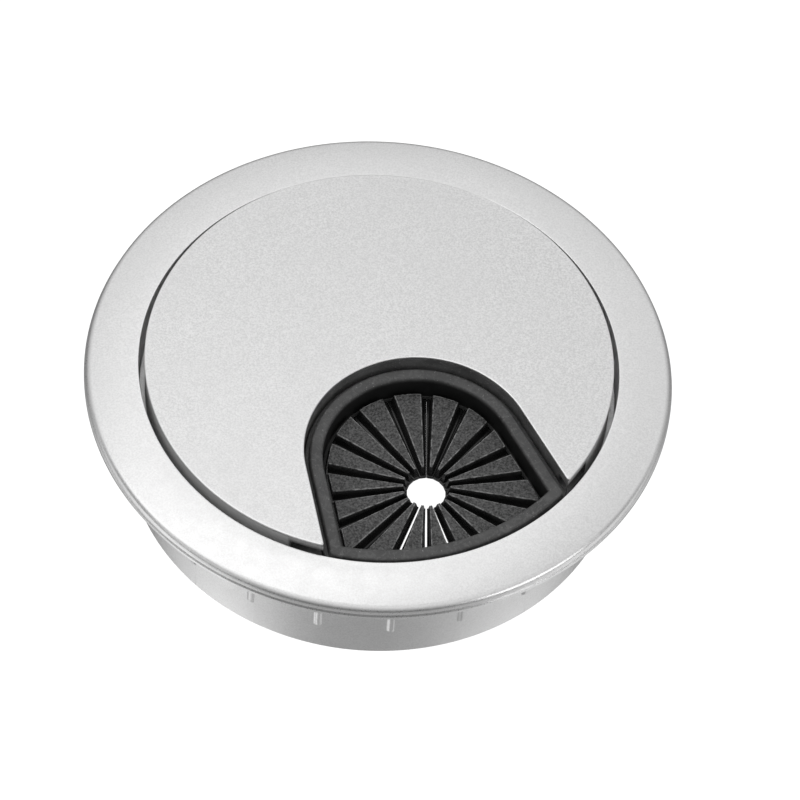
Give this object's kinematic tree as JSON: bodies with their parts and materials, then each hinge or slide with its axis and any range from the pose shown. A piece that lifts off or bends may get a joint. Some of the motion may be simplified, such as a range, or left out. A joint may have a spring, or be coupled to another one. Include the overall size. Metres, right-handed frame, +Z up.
{
  "type": "desk cable grommet",
  "caption": "Round silver desk cable grommet with a turning lid and a slotted black rubber cable seal.",
  "frame": {"origin": "centre of the skirt's foot, on the ring's axis", "axes": "+Z up along the ring's axis, out of the desktop; the cable opening faces 67 degrees from +X towards -Y"},
  "size_m": [0.093, 0.093, 0.0238],
  "materials": {
    "ring_satin": "satin",
    "cover_satin": "satin",
    "carrier_black": "matte",
    "seal_rubber": "matte"
  },
  "bodies": {
    "ring": {"ring": "ring_satin"},
    "lid": {"lid_carrier": "carrier_black", "cover_plate": "cover_satin", "seal_rim": "seal_rubber"},
    "petal_01": {"seal_petal_01": "seal_rubber"},
    "petal_02": {"seal_petal_02": "seal_rubber"},
    "petal_03": {"seal_petal_03": "seal_rubber"},
    "petal_04": {"seal_petal_04": "seal_rubber"},
    "petal_05": {"seal_petal_05": "seal_rubber"},
    "petal_06": {"seal_petal_06": "seal_rubber"},
    "petal_07": {"seal_petal_07": "seal_rubber"},
    "petal_08": {"seal_petal_08": "seal_rubber"},
    "petal_09": {"seal_petal_09": "seal_rubber"},
    "petal_10": {"seal_petal_10": "seal_rubber"},
    "petal_11": {"seal_petal_11": "seal_rubber"},
    "petal_12": {"seal_petal_12": "seal_rubber"},
    "petal_13": {"seal_petal_13": "seal_rubber"},
    "petal_14": {"seal_petal_14": "seal_rubber"},
    "petal_15": {"seal_petal_15": "seal_rubber"},
    "petal_16": {"seal_petal_16": "seal_rubber"},
    "petal_17": {"seal_petal_17": "seal_rubber"},
    "petal_18": {"seal_petal_18": "seal_rubber"}
  },
  "joints": [
    {"name": "lid_turn", "type": "hinge", "parent": "ring", "child": "lid", "pos_m": [0, 0, 0.0156], "axis": [0, 0, 1], "continuous": true},
    {"name": "petal_bend_01", "type": "hinge", "parent": "lid", "child": "petal_01", "pos_m": [0.01513, -0.0305, 0.01735], "axis": [-0.8387, -0.5446, 0], "range_deg": [-15, 65], "stiffness_Nm_per_rad": 0.001},
    {"name": "petal_bend_02", "type": "hinge", "parent": "lid", "child": "petal_02", "pos_m": [0.01845, -0.02805, 0.01735], "axis": [-0.6018, -0.7986, 0], "range_deg": [-15, 65], "stiffness_Nm_per_rad": 0.001},
    {"name": "petal_bend_03", "type": "hinge", "parent": "lid", "child": "petal_03", "pos_m": [0.02187, -0.02479, 0.01735], "axis": [-0.2924, -0.9563, 0], "range_deg": [-15, 65], "stiffness_Nm_per_rad": 0.001},
    {"name": "petal_bend_04", "type": "hinge", "parent": "lid", "child": "petal_04", "pos_m": [0.02418, -0.02, 0.01735], "axis": [0.0523, -0.9986, 0], "range_deg": [-15, 65], "stiffness_Nm_per_rad": 0.001},
    {"name": "petal_bend_05", "type": "hinge", "parent": "lid", "child": "petal_05", "pos_m": [0.02223, -0.01512, 0.01735], "axis": [0.3907, -0.9205, 0], "range_deg": [-15, 65], "stiffness_Nm_per_rad": 0.001},
    {"name": "petal_bend_06", "type": "hinge", "parent": "lid", "child": "petal_06", "pos_m": [0.01948, -0.01087, 0.01735], "axis": [0.682, -0.7314, 0], "range_deg": [-15, 65], "stiffness_Nm_per_rad": 0.001},
    {"name": "petal_bend_07", "type": "hinge", "parent": "lid", "child": "petal_07", "pos_m": [0.01588, -0.00698, 0.01735], "axis": [0.891, -0.454, 0], "range_deg": [-15, 65], "stiffness_Nm_per_rad": 0.001},
    {"name": "petal_bend_08", "type": "hinge", "parent": "lid", "child": "petal_08", "pos_m": [0.01086, -0.00425, 0.01735], "axis": [0.9925, -0.1219, 0], "range_deg": [-15, 65], "stiffness_Nm_per_rad": 0.001},
    {"name": "petal_bend_09", "type": "hinge", "parent": "lid", "child": "petal_09", "pos_m": [0.0049, -0.00378, 0.01735], "axis": [0.9744, 0.225, 0], "range_deg": [-15, 65], "stiffness_Nm_per_rad": 0.001},
    {"name": "petal_bend_10", "type": "hinge", "parent": "lid", "child": "petal_10", "pos_m": [-0.00068, -0.00615, 0.01735], "axis": [0.8387, 0.5446, 0], "range_deg": [-15, 65], "stiffness_Nm_per_rad": 0.001},
    {"name": "petal_bend_11", "type": "hinge", "parent": "lid", "child": "petal_11", "pos_m": [-0.00449, -0.01077, 0.01735], "axis": [0.6018, 0.7986, 0], "range_deg": [-15, 65], "stiffness_Nm_per_rad": 0.001},
    {"name": "petal_bend_12", "type": "hinge", "parent": "lid", "child": "petal_12", "pos_m": [-0.00601, -0.01627, 0.01735], "axis": [0.2924, 0.9563, 0], "range_deg": [-15, 65], "stiffness_Nm_per_rad": 0.001},
    {"name": "petal_bend_13", "type": "hinge", "parent": "lid", "child": "petal_13", "pos_m": [-0.00571, -0.02157, 0.01735], "axis": [-0.0523, 0.9986, 0], "range_deg": [-15, 65], "stiffness_Nm_per_rad": 0.001},
    {"name": "petal_bend_14", "type": "hinge", "parent": "lid", "child": "petal_14", "pos_m": [-0.00456, -0.02649, 0.01735], "axis": [-0.3907, 0.9205, 0], "range_deg": [-15, 65], "stiffness_Nm_per_rad": 0.001},
    {"name": "petal_bend_15", "type": "hinge", "parent": "lid", "child": "petal_15", "pos_m": [-0.00241, -0.03129, 0.01735], "axis": [-0.682, 0.7314, 0], "range_deg": [-15, 65], "stiffness_Nm_per_rad": 0.001},
    {"name": "petal_bend_16", "type": "hinge", "parent": "lid", "child": "petal_16", "pos_m": [0.00264, -0.03295, 0.01735], "axis": [-0.891, 0.454, 0], "range_deg": [-15, 65], "stiffness_Nm_per_rad": 0.001},
    {"name": "petal_bend_17", "type": "hinge", "parent": "lid", "child": "petal_17", "pos_m": [0.00736, -0.03275, 0.01735], "axis": [-0.9925, 0.1219, 0], "range_deg": [-15, 65], "stiffness_Nm_per_rad": 0.001},
    {"name": "petal_bend_18", "type": "hinge", "parent": "lid", "child": "petal_18", "pos_m": [0.01143, -0.03207, 0.01735], "axis": [-0.9744, -0.225, 0], "range_deg": [-15, 65], "stiffness_Nm_per_rad": 0.001}
  ]
}
